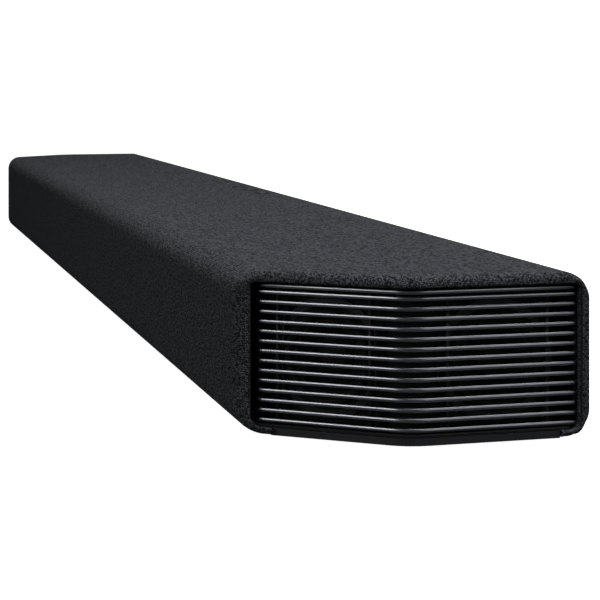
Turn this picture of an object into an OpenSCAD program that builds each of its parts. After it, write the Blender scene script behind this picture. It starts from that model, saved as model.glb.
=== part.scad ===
// Soundbar with a fabric sleeve and barred, angled ends.
// X runs along the bar, the front faces -Y and Z is up.
// The origin is on the floor, under the middle of the bar. Millimetres.

/* [Overall] */
// Length over the two ends
bar_length = 1232; // [1020:1:1480]
// Depth from front to back
bar_depth = 138; // [114:1:166]
// Height from the floor to the top of the fabric
bar_height = 69.5; // [57:0.5:84]
// Height of the rubber feet below the sleeve
foot_height = 1.7; // [1:0.1:3]
// Radius of the four long edges of the sleeve
edge_radius = 11; // [7:0.5:13]

/* [Ends] */
// Angle between the front part of an end and the depth axis
facet_angle = 42; // [30:1:48]
// Distance from the front face back to the fold of an end
facet_depth = 60; // [50:1:70]
// Radius of the vertical fold of an end
fold_radius = 25; // [12:1:34]
// Radius of the vertical corner where the front face meets an end
front_corner_radius = 10; // [4:0.5:14]
// Radius of the vertical corner where the back face meets an end
rear_corner_radius = 3.5; // [2:0.5:6]
// Radius of the edge between the roof and an end
end_edge_radius = 4; // [1:0.2:5]
// Fabric rim in front of an end opening, measured along the depth
rim_front = 6.2; // [5:0.2:14]
// Fabric rim behind an end opening
rim_rear = 3.6; // [3.6:0.2:10]
// Fabric rim over an end opening
rim_top = 4.6; // [4.6:0.1:8]
// Radius of the lower corners of an end opening
opening_radius = 4.5; // [3:0.5:8]
// Radius of the upper corners of an end opening
opening_top_radius = 2.5; // [1.5:0.5:6]

/* [Walls] */
// Thickness of the knitted fabric
fabric_thickness = 0.8; // [0.5:0.1:1.2]
// Wall of the perforated shell under the fabric
shell_wall = 1.8; // [1.4:0.1:2.6]
// Wall of the moulded inner parts
inner_wall = 2.5; // [1.6:0.1:3]
// Free gap left round parts that are put in from below
fit_gap = 0.4; // [0.2:0.1:0.6]
// Width of the fabric lip under the front edge
lip_front = 13.6; // [12:0.2:17]
// Width of the fabric lip under the back edge
lip_rear = 12; // [12:0.2:16]

/* [Grille bars] */
// Number of bars at each end
bar_count = 15; // [11:1:19]
// Thickness of a bar, seen from the side
bar_thickness = 1.6; // [1.2:0.1:2]
// Width of a bar, front to back
bar_width = 1.8; // [1.4:0.1:2.2]
// Length of the leg turned in at a bar's ends
bar_leg = 3.5; // [2.6:0.1:4.2]
// Distance between the two ribs behind a driver's bars
rib_spacing = 43; // [36:1:48]
// Width of a rib
rib_width = 1.4; // [1:0.1:2]
// Depth of the bars' middle behind the fabric face
bar_setback = 6; // [4.6:0.1:7]
// Gap from the opening's lower edge to the middle of the lowest bar
bar_foot_gap = 2.5; // [1.8:0.1:4]
// Gap from the middle of the highest bar to the opening's upper edge
bar_head_gap = 0.8; // [0.8:0.1:3]
// Gap between a bar's front end and the side of the opening
bar_front_gap = 2.4; // [0.3:0.1:4]
// Gap between a bar's rear end and the side of the opening
bar_rear_gap = 0.3; // [0.3:0.1:2]

/* [Controls] */
// Diameter of a top button
button_diameter = 10; // [8:0.5:12]
// Distance between neighbouring buttons
button_pitch = 39; // [16:1:44]
// Distance from the microphone button to the first of the others
mic_button_gap = 68; // [40:1:70]
// Distance of the button row from the back face
button_inset = 21; // [16:0.5:30]
// Height of a button above the fabric, and its travel
button_travel = 0.5; // [0.3:0.1:0.8]
// Running gap round a button
button_gap = 0.3; // [0.2:0.05:0.5]

/* [Drivers] */
// Distance of the outer channels from the ends of the bar
channel_inset = 216; // [190:1:260]
// Distance of a woofer from its tweeter
woofer_offset = 62; // [56:1:75]
// Distance of an up-firing driver from the end of the bar
top_driver_inset = 361; // [300:1:380]
// Forward tilt of the up-firing drivers
top_driver_tilt = 12; // [0:1:16]
// Free height kept above and below a driver's rim
driver_margin = 2; // [1:0.5:5]
// Width of the half-roll rubber surround
surround_width = 4.5; // [3:0.5:6]
// Width of a driver's flange outside its basket
flange_width = 3.5; // [3:0.5:5]
// Radius of a voice coil
coil_radius = 8; // [6:0.5:9]
// Radius of a driver magnet
magnet_radius = 15; // [13:0.5:17]
// Largest movement of a cone, each way
cone_travel = 2; // [1:0.5:3]
// Diameter of a tweeter's face
tweeter_diameter = 34; // [28:1:40]

/* [Underside] */
// Length of a socket bay
bay_length = 96; // [80:1:110]
// Width of a socket bay
bay_width = 44; // [36:1:50]
// Height of a socket bay above the underside
bay_height = 24; // [20:1:28]
// Distance of the bays from the back face
bay_inset = 24; // [20:1:30]
// Width of the channel that leads a bay's cables to the back
channel_width = 26; // [16:1:40]
// Height of that channel
channel_height = 9; // [6:0.5:12]
// Distance between the middle of the bar and a bay
bay_offset = 36; // [30:1:60]
// Distance of the wall bracket holes from the ends of the bar
bracket_inset = 270; // [200:1:300]
// Spacing of the two holes of a wall bracket
bracket_pitch = 40; // [30:1:60]
// Radius of a wall bracket hole
bracket_hole_radius = 2; // [1.6:0.1:2.6]
// Depth of a wall bracket hole
bracket_hole_depth = 11; // [8:0.5:14]
// Length of a rubber foot
foot_length = 60; // [30:1:90]
// Width of a rubber foot
foot_width = 12; // [8:1:16]
// Distance of the feet from the ends of the bar
foot_inset = 95; // [95:1:118]

/* [Hidden] */
$fn = 48;
arc_steps = 8;      // straight steps in each rounded corner of the sleeve
end_reach = 5;      // how far a cutting block runs past the ends
overcut = 1;        // how far a cutting block runs past a face

skin = fabric_thickness + shell_wall;       // fabric and shell together
floor_z = foot_height;                      // underside of the sleeve
front_y = -bar_depth / 2;
back_y = bar_depth / 2;
half_length = bar_length / 2;
fold_y = front_y + facet_depth;
front_corner_x = half_length - facet_depth * tan(facet_angle);
inner_top = bar_height - skin;              // inner face of the shell's roof
opening_floor = floor_z + skin;
opening_top = bar_height - rim_top;
opening_front = front_y + rim_front;
opening_back = back_y - rim_rear;

strip_setback = 2.2;                        // end of the bottom cover behind the fabric face
cover_drop = 0.4;                           // bottom cover below the fabric
flange_top = floor_z + skin + inner_wall;   // top of the bottom cover's inner flange
frame_wall = 1;                             // floor of the plastic frame in an end opening
frame_gap = 0.2;                            // frame above the opening's upper edge
frame_radius = 2;                           // inner corners of that frame
frame_flange = 3;                           // depth of the ring at the back of that frame
flange_inset = 1.6;                         // how far the ring stands in from the frame's walls
baffle_setback = 13;                        // end baffle behind the fabric face
ring_height = 1.6;                          // thickness of a driver's flange
basket_wall = 1.2;
plate_thickness = 3;                        // steel plates of a driver's motor
magnet_thickness = 6;
coil_gap = 0.6;                             // free gap each side of a voice coil's former
board_thickness = 1.6;
deck_z = inner_top - fit_gap - inner_wall;  // underside of the top deck
channel_wall = 1.2;
module_x = front_corner_x - 16;             // where the end modules begin
baffle_y = front_y + skin + fit_gap;        // front face of the front baffle
free_height = deck_z - flange_top;          // height inside, between cover and deck
mid_z = floor_z + (bar_height - floor_z) / 2 - 2;
woofer_z = (deck_z + flange_top) / 2;
woofer_radius = free_height / 2 - driver_margin;
end_facet_length = facet_depth / cos(facet_angle);
end_driver_radius = min((opening_top - opening_floor) / 2 - driver_margin - 3,
    (opening_back - fold_y) / 2 - driver_margin - 10, end_facet_length / 2 - driver_margin - 13);
fold_gap = 12;                              // from the fold to a driver's rim
channel_x = half_length - channel_inset;
top_driver_x = half_length - top_driver_inset;
top_driver_y = 14;
button_y = back_y - button_inset;
button_x = [-button_pitch / 3 - mic_button_gap, -button_pitch / 3, button_pitch * 2 / 3,
    button_pitch * 5 / 3];
lens_x = button_x[0] + mic_button_gap * 0.4;
bay_y = back_y - bay_inset - bay_width / 2;
bay_x = bay_offset + bay_length / 2;
bay_roof = floor_z + bay_height;
socket_z = floor_z + 12;
bar_pitch = (opening_top - opening_floor - bar_foot_gap - bar_head_gap) / (bar_count - 1);

// ---- points ----

function unit(v) = v / norm(v);

// Signed turn from angle a to angle b, within half a turn
function turn(a, b) = (b - a) - 360 * floor((b - a + 180) / 360);

// Points of the arc of radius r that rounds corner q, between its neighbours p and s
function corner(p, q, s, r) =
    let (u = unit(p - q), w = unit(s - q), half = acos(u * w) / 2,
        reach = r / tan(half), middle = q + unit(u + w) * r / sin(half),
        first = q + u * reach - middle, last = q + w * reach - middle,
        start = atan2(first.y, first.x), sweep = turn(start, atan2(last.y, last.x)))
    [for (i = [0:arc_steps]) middle + r * [cos(start + sweep * i / arc_steps),
        sin(start + sweep * i / arc_steps)]];

// An outline with every corner rounded by its own radius
function rounded(points, radii) = let (n = len(points))
    [for (i = [0:n - 1]) each corner(points[(i + n - 1) % n], points[i], points[(i + 1) % n],
        radii[i])];

// A convex, counter-clockwise outline with every side moved in by d
function inset(points, d) = let (n = len(points))
    [for (i = [0:n - 1]) let (a = unit(points[i] - points[(i + n - 1) % n]),
        b = unit(points[(i + 1) % n] - points[i]), na = [-a.y, a.x], nb = [-b.y, b.x])
        points[i] + (na + nb) * d / (1 + na * nb)];

function box_points(low, high) = [low, [high.x, low.y], high, [low.x, high.y]];

// The bar seen from above, every side moved in by d
function plan(d) = rounded(inset([[-front_corner_x, front_y], [front_corner_x, front_y],
    [half_length, fold_y], [half_length, back_y], [-half_length, back_y],
    [-half_length, fold_y]], d), [for (r = [front_corner_radius, front_corner_radius,
    fold_radius, rear_corner_radius, rear_corner_radius, fold_radius]) max(r - d, 0.5)]);

// The ends alone from above, running on past the front and the back
function end_plan(d) = let (run = facet_depth + 40) rounded(inset(
    [[-half_length + run * tan(facet_angle), fold_y - run],
    [half_length - run * tan(facet_angle), fold_y - run], [half_length, fold_y],
    [half_length, back_y + 40], [-half_length, back_y + 40], [-half_length, fold_y]], d),
    [1, 1, max(fold_radius - d, 0.5), 1, 1, max(fold_radius - d, 0.5)]);

// The bar's cross-section as [y, z], every side moved in by d
function profile(d) = rounded(inset(box_points([front_y, floor_z], [back_y, bar_height]), d),
    [for (i = [0:3]) max(edge_radius - d, 0.5)]);

// An end opening as [y, z]
opening = rounded(box_points([opening_front, opening_floor], [opening_back, opening_top]),
    [opening_radius, opening_radius, opening_top_radius, opening_top_radius]);

// ---- shared shapes ----

// Stretches a [y, z] outline along X, from x0 to x1
module along_x(x0, x1) translate([x0, 0, 0]) rotate([90, 0, 90]) linear_extrude(x1 - x0) children();

// A block between two corners
module block(low, high) translate(low) cube(high - low);

// The bar's plan as a solid, its roof edge rounded in steps and every face moved in by d
module plan_block(d) let (r = max(end_edge_radius - d, 0.4)) hull() for (a = [0:30:90])
    linear_extrude(bar_height - d - r * (1 - sin(a))) polygon(plan(d + r * (1 - cos(a))));

// The whole bar as one closed block, every face moved in by d
module bar_block(d) intersection() {
    plan_block(d);
    along_x(-half_length - overcut, half_length + overcut) polygon(profile(d));
}

// The right end as it is, or mirrored to the left when side is -1
module on_side(side) if (side > 0) children(); else mirror([1, 0, 0]) children();

// What is cut away to open both ends
module end_openings() for (side = [-1, 1]) on_side(side)
    along_x(front_corner_x - end_reach, half_length + end_reach) polygon(opening);

// What is cut away between the fabric's two lips
module underside_opening() block(
    [-half_length - end_reach, front_y + lip_front, floor_z - overcut],
    [half_length + end_reach, back_y - lip_rear, opening_floor + overcut]);

// Round holes for the buttons and the status lens, from z0 up
module control_holes(z0) for (i = [0:4])
    translate([i < 4 ? button_x[i] : lens_x, button_y, z0])
        cylinder(r = (i < 4 ? button_diameter / 2 + button_gap : 1.2 + button_gap / 2),
            h = bar_height - z0 + overcut);

// Layer of an end between depths d0 and d1 behind the fabric face, from z0 to z1
module end_layer(d0, d1, z0, z1) translate([0, 0, z0]) intersection() {
    linear_extrude(z1 - z0) difference() {
        polygon(plan(d0));
        polygon(plan(d1));
    }
    block([module_x + fit_gap, front_y, 0], [half_length + end_reach, back_y, z1 - z0]);
}

// ---- sleeve ----

module fabric_cover() color("#2b2d30") difference() {
    bar_block(0);
    bar_block(fabric_thickness);
    end_openings();
    underside_opening();
    control_holes(inner_top);
    cable_channels(channel_wall + fit_gap);
}

// Slots of one sound window in the shell's front wall, centred at x
module front_window(x, width) for (i = [-3:3]) translate([x, front_y + skin / 2, woofer_z + i * 6])
    cube([width, skin + 2 * overcut, 3], center = true);

// Slots of the sound window over an up-firing driver
module roof_window(x) for (i = [-3:3])
    translate([x + i * 7, top_driver_y, bar_height - skin / 2])
        cube([3.5, woofer_radius * 1.6, skin + 2 * overcut], center = true);

module grille_shell() color("#1c1d1f") difference() {
    bar_block(fabric_thickness);
    bar_block(skin);
    end_openings();
    underside_opening();
    control_holes(inner_top - overcut);
    cable_channels(channel_wall + fit_gap);
    for (side = [-1, 0, 1]) for (part = [-1, 0, 1])
        front_window(side * channel_x + part * woofer_offset, part == 0 ? 26 : 50);
    front_window(display_x, display_width);
    for (side = [-1, 1]) roof_window(side * top_driver_x);
}

// ---- ends ----

// Moulded frame that backs the rim of an end opening
module end_frame(side) color("#0d0d0e") on_side(side) difference() {
    intersection() {
        end_layer(skin + fit_gap / 2, baffle_setback - fit_gap / 2, opening_floor,
            inner_top - fit_gap / 2);
        bar_block(skin + fit_gap / 2);
    }
    difference() {
        end_space(0, frame_radius);
        frame_ring();
    }
}

// Ring at the back of that frame, with a smaller window that has rounder corners
module frame_ring() difference() {
    linear_extrude(bar_height) difference() {
        polygon(end_plan(baffle_setback - frame_flange));
        polygon(end_plan(baffle_setback));
    }
    end_space(flange_inset, 3 * frame_radius);
}

// Space inside the frame of the right end, every side moved in by g, its corners of radius r
module end_space(g, r) along_x(module_x - overcut, half_length + end_reach)
    polygon(rounded(box_points([opening_front + g, opening_floor + frame_wall + g],
        [opening_back - g, opening_top + frame_gap - g]), [for (i = [0:3]) r]));

// Line of a bar's middle in plan, as the corner points [front end, fold, rear end]
function bar_line(d) = let (points = inset([[-front_corner_x, front_y],
    [front_corner_x, front_y], [half_length, fold_y], [half_length, back_y],
    [-half_length, back_y], [-half_length, fold_y]], d),
    run = unit(points[1] - points[2]), y0 = opening_front + bar_front_gap + bar_width / 2)
    [points[2] + run * ((points[2].y - y0) / -run.y), points[2],
     [points[2].x, opening_back - bar_rear_gap]];

// One bar from above: a strip that follows the end, with or without a leg turned in at each side
module bar_outline(legs) let (line = bar_line(bar_setback), a = line[0], b = line[2]) {
    intersection() {
        difference() {
            polygon(end_plan(bar_setback - bar_width / 2));
            polygon(end_plan(bar_setback + bar_width / 2));
        }
        translate([module_x - 60, a.y]) square([half_length, b.y - a.y]);
    }
    if (legs) {
        translate(a) rotate(-facet_angle) translate([-bar_leg, 0])
            square([bar_leg + bar_width / 2, bar_width]);
        translate(b) translate([-bar_leg, -bar_width]) square([bar_leg + bar_width / 2, bar_width]);
    }
}

module end_bars(side) color("#8b8d90") on_side(side) intersection() {
    union() {
        for (i = [0:bar_count - 1]) translate([0, 0, bar_z(i) - bar_thickness / 2])
            linear_extrude(bar_thickness) bar_outline(i < bar_count - 1);
        bar_ribs();
    }
    end_space(0.2, frame_radius);
}

function bar_z(i) = opening_floor + bar_foot_gap + i * bar_pitch;

// Upright ribs behind the bars, one on each side of each end driver and one at each end
module bar_ribs() let (line = bar_line(bar_setback), top = bar_z(bar_count - 1)) {
    translate([0, 0, bar_z(0)]) linear_extrude(top - bar_z(0))
        for (axis = end_axes) for (i = [-1, 1]) translate([axis[0], axis[1]]) rotate(axis[2])
            translate([baffle_setback - bar_setback - bar_leg, i * rib_spacing / 2 - rib_width / 2])
                square([bar_leg, rib_width]);
    translate([0, 0, bar_z(0)]) linear_extrude(top - bar_pitch - bar_z(0)) {
        translate(line[0]) rotate(-facet_angle) translate([-bar_leg, 0]) square([rib_width, bar_width]);
        translate(line[2]) translate([-bar_leg, -bar_width]) square([rib_width, bar_width]);
    }
}

// ---- underside ----

module bottom_cover() color("#18191a") difference() {
    union() {
        cover_skin();
        cover_flange();
        bay_housings();
        bracket_bosses();
        screw_posts();
    }
    bay_pockets();
    bracket_holes(bracket_hole_radius + 1.4, bracket_hole_depth);
    screw_holes();
    foot_seats();
}

// Plate between the fabric's lips, cut to the shape of the ends
module cover_skin() intersection() {
    translate([0, 0, floor_z - cover_drop]) linear_extrude(skin + cover_drop)
        polygon(plan(strip_setback));
    block([-half_length, front_y + lip_front + fit_gap, 0],
        [half_length, back_y - lip_rear - fit_gap, bar_height]);
}

// Wider plate that lies on the shell's lips inside
module cover_flange() block([-module_x, front_y + edge_radius, opening_floor],
    [module_x, back_y - edge_radius, flange_top]);

module bay_box(side, grow, z1) translate([side * bay_x, bay_y, 0])
    block([-bay_length / 2 - grow, -bay_width / 2 - grow, floor_z - cover_drop],
        [bay_length / 2 + grow, bay_width / 2 + grow, z1 + grow]);

// Way out to the back for the cables of each bay, its sides and roof grown by g
module cable_channels(g) for (side = [-1, 1]) translate([side * bay_x, 0, 0])
    block([-channel_width / 2 - g, back_y - bay_inset - overcut, floor_z - overcut],
        [channel_width / 2 + g, back_y + overcut, floor_z + channel_height + g]);

module bay_housings() {
    for (side = [-1, 1]) bay_box(side, inner_wall, bay_roof);
    intersection() {
        cable_channels(channel_wall);
        block([-half_length, front_y, floor_z - cover_drop],
            [half_length, back_y - fabric_thickness, bar_height]);
        bar_block(fabric_thickness);
    }
}

module bay_pockets() {
    for (side = [-1, 1]) translate([0, 0, -overcut]) bay_box(side, 0, bay_roof + overcut);
    cable_channels(0);
    socket_windows();
}

// Windows in the bays' walls for the sockets and the pairing button
module socket_windows() {
    socket_window(-1, inlet_y, inlet_width, inlet_height);
    for (y = hdmi_y) socket_window(1, y, hdmi_width, hdmi_height);
    socket_window(1, optical_y, optical_width, optical_width);
    translate([bay_x + pairing_shift, bay_y, bay_roof - overcut])
        cylinder(r = pairing_radius + button_gap, h = inner_wall + 2 * overcut);
}

module socket_window(side, y, w, h) translate([side * (bay_x + bay_length / 2), bay_y + y, socket_z])
    cube([4 * inner_wall, w + 2 * fit_gap, h + 2 * fit_gap], center = true);

module at_brackets() for (side = [-1, 1]) for (i = [-1, 1])
    translate([side * (half_length - bracket_inset) + i * bracket_pitch / 2, bracket_y, 0])
        children();

bracket_y = back_y - 32;

module bracket_bosses() at_brackets() translate([0, 0, floor_z])
    cylinder(r = bracket_hole_radius + 4, h = bracket_hole_depth + inner_wall);

module bracket_holes(r, h) at_brackets() translate([0, 0, floor_z - cover_drop - overcut])
    cylinder(r = r, h = h + overcut);

// Brass inserts that take the wall bracket's screws
module bracket_inserts() color("#b08d57") at_brackets() translate([0, 0, floor_z - cover_drop])
    difference() {
        cylinder(r = bracket_hole_radius + 1.4, h = bracket_hole_depth);
        translate([0, 0, -overcut]) cylinder(r = bracket_hole_radius, h = bracket_hole_depth + 2 * overcut);
    }

screw_x = [for (side = [-1, 1]) for (i = [0:2]) side * (20 + i * (module_x - 100) / 2)];
screw_y = [front_y + lip_front + 10, back_y - lip_rear - 6];

module at_screws() for (x = screw_x) for (y = screw_y) translate([x, y, floor_z - cover_drop])
    children();

module screw_posts() at_screws() cylinder(r = 4.2, h = 9);

module screw_holes() at_screws() {
    translate([0, 0, -overcut]) cylinder(r = 3.4, h = 2 + overcut);
    cylinder(r = 1.6, h = 8);
}

module case_screws() color("#3a3b3d") at_screws() {
    translate([0, 0, 0.2]) cylinder(r = 3, h = 1.8);
    translate([0, 0, 2]) cylinder(r = 1.5, h = 5.5);
}

// A straight bar with round ends, lying along X
module slot_shape(length, width, h) hull() for (i = [-1, 1])
    translate([i * (length - width) / 2, 0, 0]) cylinder(d = width, h = h, $fn = 32);

module at_feet() for (side = [-1, 1]) for (y = [front_y + lip_front + 10, back_y - lip_rear - 10])
    translate([side * (half_length - foot_inset), y, 0]) children();

foot_seat = 0.6;    // how deep a foot sits in the cover

module foot_seats() at_feet() slot_shape(foot_length + 0.4, foot_width + 0.4,
    floor_z - cover_drop + foot_seat);

module rubber_feet() color("#101010") at_feet() slot_shape(foot_length, foot_width,
    floor_z - cover_drop + foot_seat);

// ---- inner structure ----

module front_baffle() color("#222326") difference() {
    intersection() {
        bar_block(skin + fit_gap);
        block([-module_x, baffle_y, flange_top], [module_x, baffle_y + inner_wall + 0.5, deck_z]);
    }
    at_woofers() cylinder(r = basket_radius(woofer_radius) + 0.3, h = 20, center = true);
    at_tweeters() cylinder(d = tweeter_diameter - 6, h = 20, center = true);
    translate([display_x, baffle_y, woofer_z]) cube([display_width - 8, 20, 10], center = true);
}

// Frame with its Z axis along a front driver's axis, at the baffle's front face
module front_axis(x) translate([x, baffle_y + 0.02, woofer_z]) rotate([90, 0, 0]) children();

module at_woofers(channels = [-1, 0, 1]) for (c = channels) for (i = [-1, 1])
    front_axis(c * channel_x + i * woofer_offset) translate([0, 0, -ring_height - 3]) children();

module at_tweeters(channels = [-1, 0, 1]) for (c = channels) front_axis(c * channel_x)
    translate([0, 0, -ring_height - 3]) children();

// Slanted collar that carries an up-firing driver under the deck
module top_collar(side, r) intersection() {
    top_axis(side) translate([0, 0, ring_height + 0.02]) cylinder(r = r, h = 40);
    translate([side * top_driver_x, top_driver_y, 0]) cylinder(r = 60, h = deck_z + inner_wall);
}

module top_deck() color("#222326") difference() {
    union() {
        block([-module_x, front_y + edge_radius, deck_z],
            [module_x, back_y - edge_radius, deck_z + inner_wall]);
        for (side = [-1, 1]) top_collar(side, top_radius);
    }
    for (side = [-1, 1]) top_axis(side) cylinder(r = basket_radius(top_radius) + 0.3, h = 40);
    block([button_x[0] - 14, button_y - 8, deck_z - overcut],
        [button_x[3] + 14, button_y + 8, deck_z + inner_wall + overcut]);
}

wall_x = woofer_offset + woofer_radius + 4;     // chamber wall beside a channel

module chamber_walls() color("#222326") for (side = [-1, 1]) for (i = [-1, 1])
    translate([side * channel_x + i * wall_x, 0, 0])
        block([-inner_wall / 2, baffle_y + inner_wall + 1, flange_top],
            [inner_wall / 2, back_y - edge_radius, deck_z]);

// Angled baffle behind the bars, with a hole for each of the two end drivers
module end_baffle(side) color("#101112") on_side(side) difference() {
    intersection() {
        end_layer(baffle_setback, baffle_setback + inner_wall, opening_floor, inner_top - fit_gap);
        bar_block(skin + fit_gap);
    }
    for (axis = end_axes) end_axis(axis) cylinder(r = basket_radius(end_driver_radius) + 0.3,
        h = 30, center = true);
}

// ---- drivers ----

function basket_radius(r) = r - flange_width;
function cone_radius(r) = basket_radius(r) - basket_wall - surround_width;

basket_depth = 15;
cone_depth = 8;
top_radius = woofer_radius - 3;

// Each end driver as [x, y, angle of its axis from +X], at the baffle's front face
function facet_point(d, s) = let (p = bar_line(d)) p[1] + unit(p[0] - p[1]) * s;
end_axes = [
    concat(facet_point(baffle_setback - 0.02, end_driver_radius + fold_gap), -facet_angle),
    [half_length - baffle_setback + 0.02, fold_y + end_driver_radius + fold_gap + 3, 0]];

module end_axis(axis) translate([axis[0], axis[1], mid_z]) rotate([0, 0, axis[2]])
    rotate([0, 90, 0]) children();

module top_axis(side) translate([side * top_driver_x, top_driver_y,
    deck_z - top_radius * sin(top_driver_tilt) - ring_height - fit_gap])
        rotate([top_driver_tilt, 0, 0]) children();

// Stamped basket of a driver, its flange standing on z = 0 and its axis along Z
module basket(r) rotate_extrude() let (b = basket_radius(r), n = coil_radius + 5, w = basket_wall)
    polygon([[r, ring_height], [r, 0], [b, 0], [b, -2], [n, -basket_depth],
        [coil_radius + coil_gap + 1, -basket_depth],
        [coil_radius + coil_gap + 1, -basket_depth + w], [n - w, -basket_depth + w],
        [b - w, -2], [b - w, ring_height]]);

// Motor of a driver: top plate, ring magnet and the yoke with its pole
module motor() let (z = -basket_depth, hole = coil_radius + coil_gap) rotate_extrude() {
    polygon([[hole, z], [magnet_radius - 1, z], [magnet_radius - 1, z - plate_thickness],
        [magnet_radius, z - plate_thickness],
        [magnet_radius, z - plate_thickness - magnet_thickness],
        [magnet_radius - 1, z - plate_thickness - magnet_thickness],
        [magnet_radius - 1, z - 2 * plate_thickness - magnet_thickness],
        [0, z - 2 * plate_thickness - magnet_thickness], [0, z],
        [coil_radius - coil_gap - 0.6, z],
        [coil_radius - coil_gap - 0.6, z - plate_thickness - magnet_thickness],
        [hole, z - plate_thickness - magnet_thickness]]);
}

// Paper cone with its dust cap and the former of its voice coil
module cone(r) let (c = cone_radius(r), z = ring_height, low = z - cone_depth) rotate_extrude()
    polygon([[c - 1.6, z], [c, z], [c, z - 0.6], [coil_radius, low - 0.6],
        [coil_radius, -basket_depth - plate_thickness], [coil_radius - 0.5, -basket_depth - plate_thickness],
        [coil_radius - 0.5, low], [coil_radius * 0.6, low + 2.4], [0, low + 3.2], [0, low + 3.8],
        [coil_radius * 0.7, low + 2.9], [coil_radius + 0.6, low + 0.6]]);

// Half-roll rubber surround between the cone and the flange
module surround(r) let (c = cone_radius(r), w = surround_width, m = c + w / 2, t = 0.5)
    rotate_extrude() polygon(concat(
        [for (i = [0:8]) [m, ring_height] + (w / 2) * [-cos(i * 22.5), sin(i * 22.5)]],
        [[c + w + basket_wall, ring_height], [c + w + basket_wall, ring_height + t]],
        [for (i = [8:-1:0]) [m, ring_height + t] + (w / 2) * [-cos(i * 22.5), sin(i * 22.5)]],
        [[c - 1.6, ring_height + t], [c - 1.6, ring_height]]));

module driver_frame(r) {
    basket(r);
    motor();
}

module woofer_frames(channel) color("#2a2b2d") at_woofers([channel]) driver_frame(woofer_radius);
module woofer_cones(channel) color("#3b3936") at_woofers([channel]) cone(woofer_radius);
module woofer_surrounds(channel) color("#151515") at_woofers([channel]) surround(woofer_radius);

module end_driver_frames(side) color("#1a1b1c") on_side(side) for (axis = end_axes)
    end_axis(axis) driver_frame(end_driver_radius);
module end_cone(side, i) color("#202020") on_side(side) end_axis(end_axes[i]) cone(end_driver_radius);
module end_surround(side, i) color("#151515") on_side(side) end_axis(end_axes[i])
    surround(end_driver_radius);

module top_driver_frame(side) color("#2a2b2d") top_axis(side) driver_frame(top_radius);
module top_cone(side) color("#3b3936") top_axis(side) cone(top_radius);
module top_surround(side) color("#151515") top_axis(side) surround(top_radius);

// Soft dome tweeter in its own shallow pot
module tweeter(channel) color("#232426") at_tweeters([channel]) rotate_extrude()
    let (r = tweeter_diameter / 2) polygon([[r, 0], [r, ring_height], [r - 6, 1.2], [8, 0.8], [6, 2.6], [3.4, 4],
        [0, 4.6], [0, -12], [r - 4, -12], [r - 4, 0]]);

// ---- controls and display ----

display_width = 60;
display_x = (channel_x + woofer_offset) / 2;

// Round cap that slides in the shell, kept in by its flange, with a stem down to its switch
module top_button(i) color("#2f3134") translate([button_x[i], button_y, 0]) {
    translate([0, 0, inner_top - 0.1 - 0.8]) cylinder(r = button_diameter / 2 + 1.2, h = 0.8);
    translate([0, 0, inner_top - 0.1]) cylinder(d = button_diameter, h = skin + button_travel + 0.1);
    translate([0, 0, inner_top - 2.4]) cylinder(r = 1.5, h = 1.5);
}

module status_lens() color("#c8c8c8") translate([lens_x, button_y, inner_top - 1.5])
    cylinder(r = 1.2, h = skin + 1.5);

switch_top = inner_top - 2.4 - button_travel - 0.1;

module control_board() color("#1d5a3a") {
    block([button_x[0] - 12, button_y - 7, switch_top - 1.4 - board_thickness],
        [button_x[3] + 12, button_y + 7, switch_top - 1.4]);
    for (i = [0:3]) translate([button_x[i], button_y, switch_top - 1.4])
        block([-3, -3, 0], [3, 3, 1.4]);
    translate([lens_x, button_y, switch_top - 1.4]) cylinder(r = 1.2, h = inner_top - 1.5 - switch_top + 1.4);
}

module display_module() color("#111111") translate([display_x, baffle_y + inner_wall + 0.5, woofer_z]) {
    block([-display_width / 2, 0, -9], [display_width / 2, board_thickness, 9]);
    block([-display_width / 2 + 6, -2.2, -4], [display_width / 2 - 6, 0, 4]);
}

// ---- electronics ----

board_z = flange_top + 4;
power_x = -(bay_x + bay_length / 2 + 2 * inner_wall + 62);
main_x = bay_x + bay_length / 2 + 2 * inner_wall + 52;
board_y = back_y - 20 - 32;

// A board on four pillars, centred at x
module board(x, length, width) translate([x, board_y, 0]) {
    block([-length / 2, -width / 2, board_z], [length / 2, width / 2, board_z + board_thickness]);
    for (i = [-1, 1]) for (j = [-1, 1])
        translate([i * (length / 2 - 5), j * (width / 2 - 5), flange_top])
            cylinder(r = 2.5, h = board_z - flange_top);
}

// Parts on a board, each [x, y, length, width, height]
module board_parts(x, parts) for (p = parts) translate([x + p[0], board_y + p[1], board_z + board_thickness])
    block([-p[2] / 2, -p[3] / 2, 0], [p[2] / 2, p[3] / 2, p[4]]);

module power_board() color("#a88a4a") {
    board(power_x, 92, 60);
    board_parts(power_x, [[20, 10, 30, 28, 18], [-20, -14, 22, 16, 12], [-28, 16, 14, 20, 9]]);
    for (i = [0:2]) translate([power_x - 4 + i * 16, board_y - 18, board_z + board_thickness])
        cylinder(r = 6, h = 17);
}

module main_board() color("#1d5a3a") {
    board(main_x, 84, 60);
    board_parts(main_x, [[4, 8, 20, 20, 2], [-14, -16, 12, 12, 1.6], [24, 14, 12, 9, 1.4], [26, -4, 10, 10, 1.4]]);
}

module wireless_module() color("#9a9c9e") board_parts(main_x, [[26, -20, 22, 14, 3.2]]);

amp_x = main_x + 42 + 10 + 30;

module amplifier_board() color("#1d5a3a") {
    board(amp_x, 60, 60);
    board_parts(amp_x, [[-12, -18, 12, 12, 6], [12, -18, 12, 12, 6], [0, 22, 40, 8, 10]]);
}

module heat_sink() color("#8f9193") translate([amp_x, board_y + 1, board_z + board_thickness]) {
    block([-22, -9, 0], [22, 9, 2.5]);
    for (i = [0:8]) translate([-22 + i * 5.25, 0, 2.5]) block([0, -9, 0], [2, 9, 9]);
}

// ---- sockets ----

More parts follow.
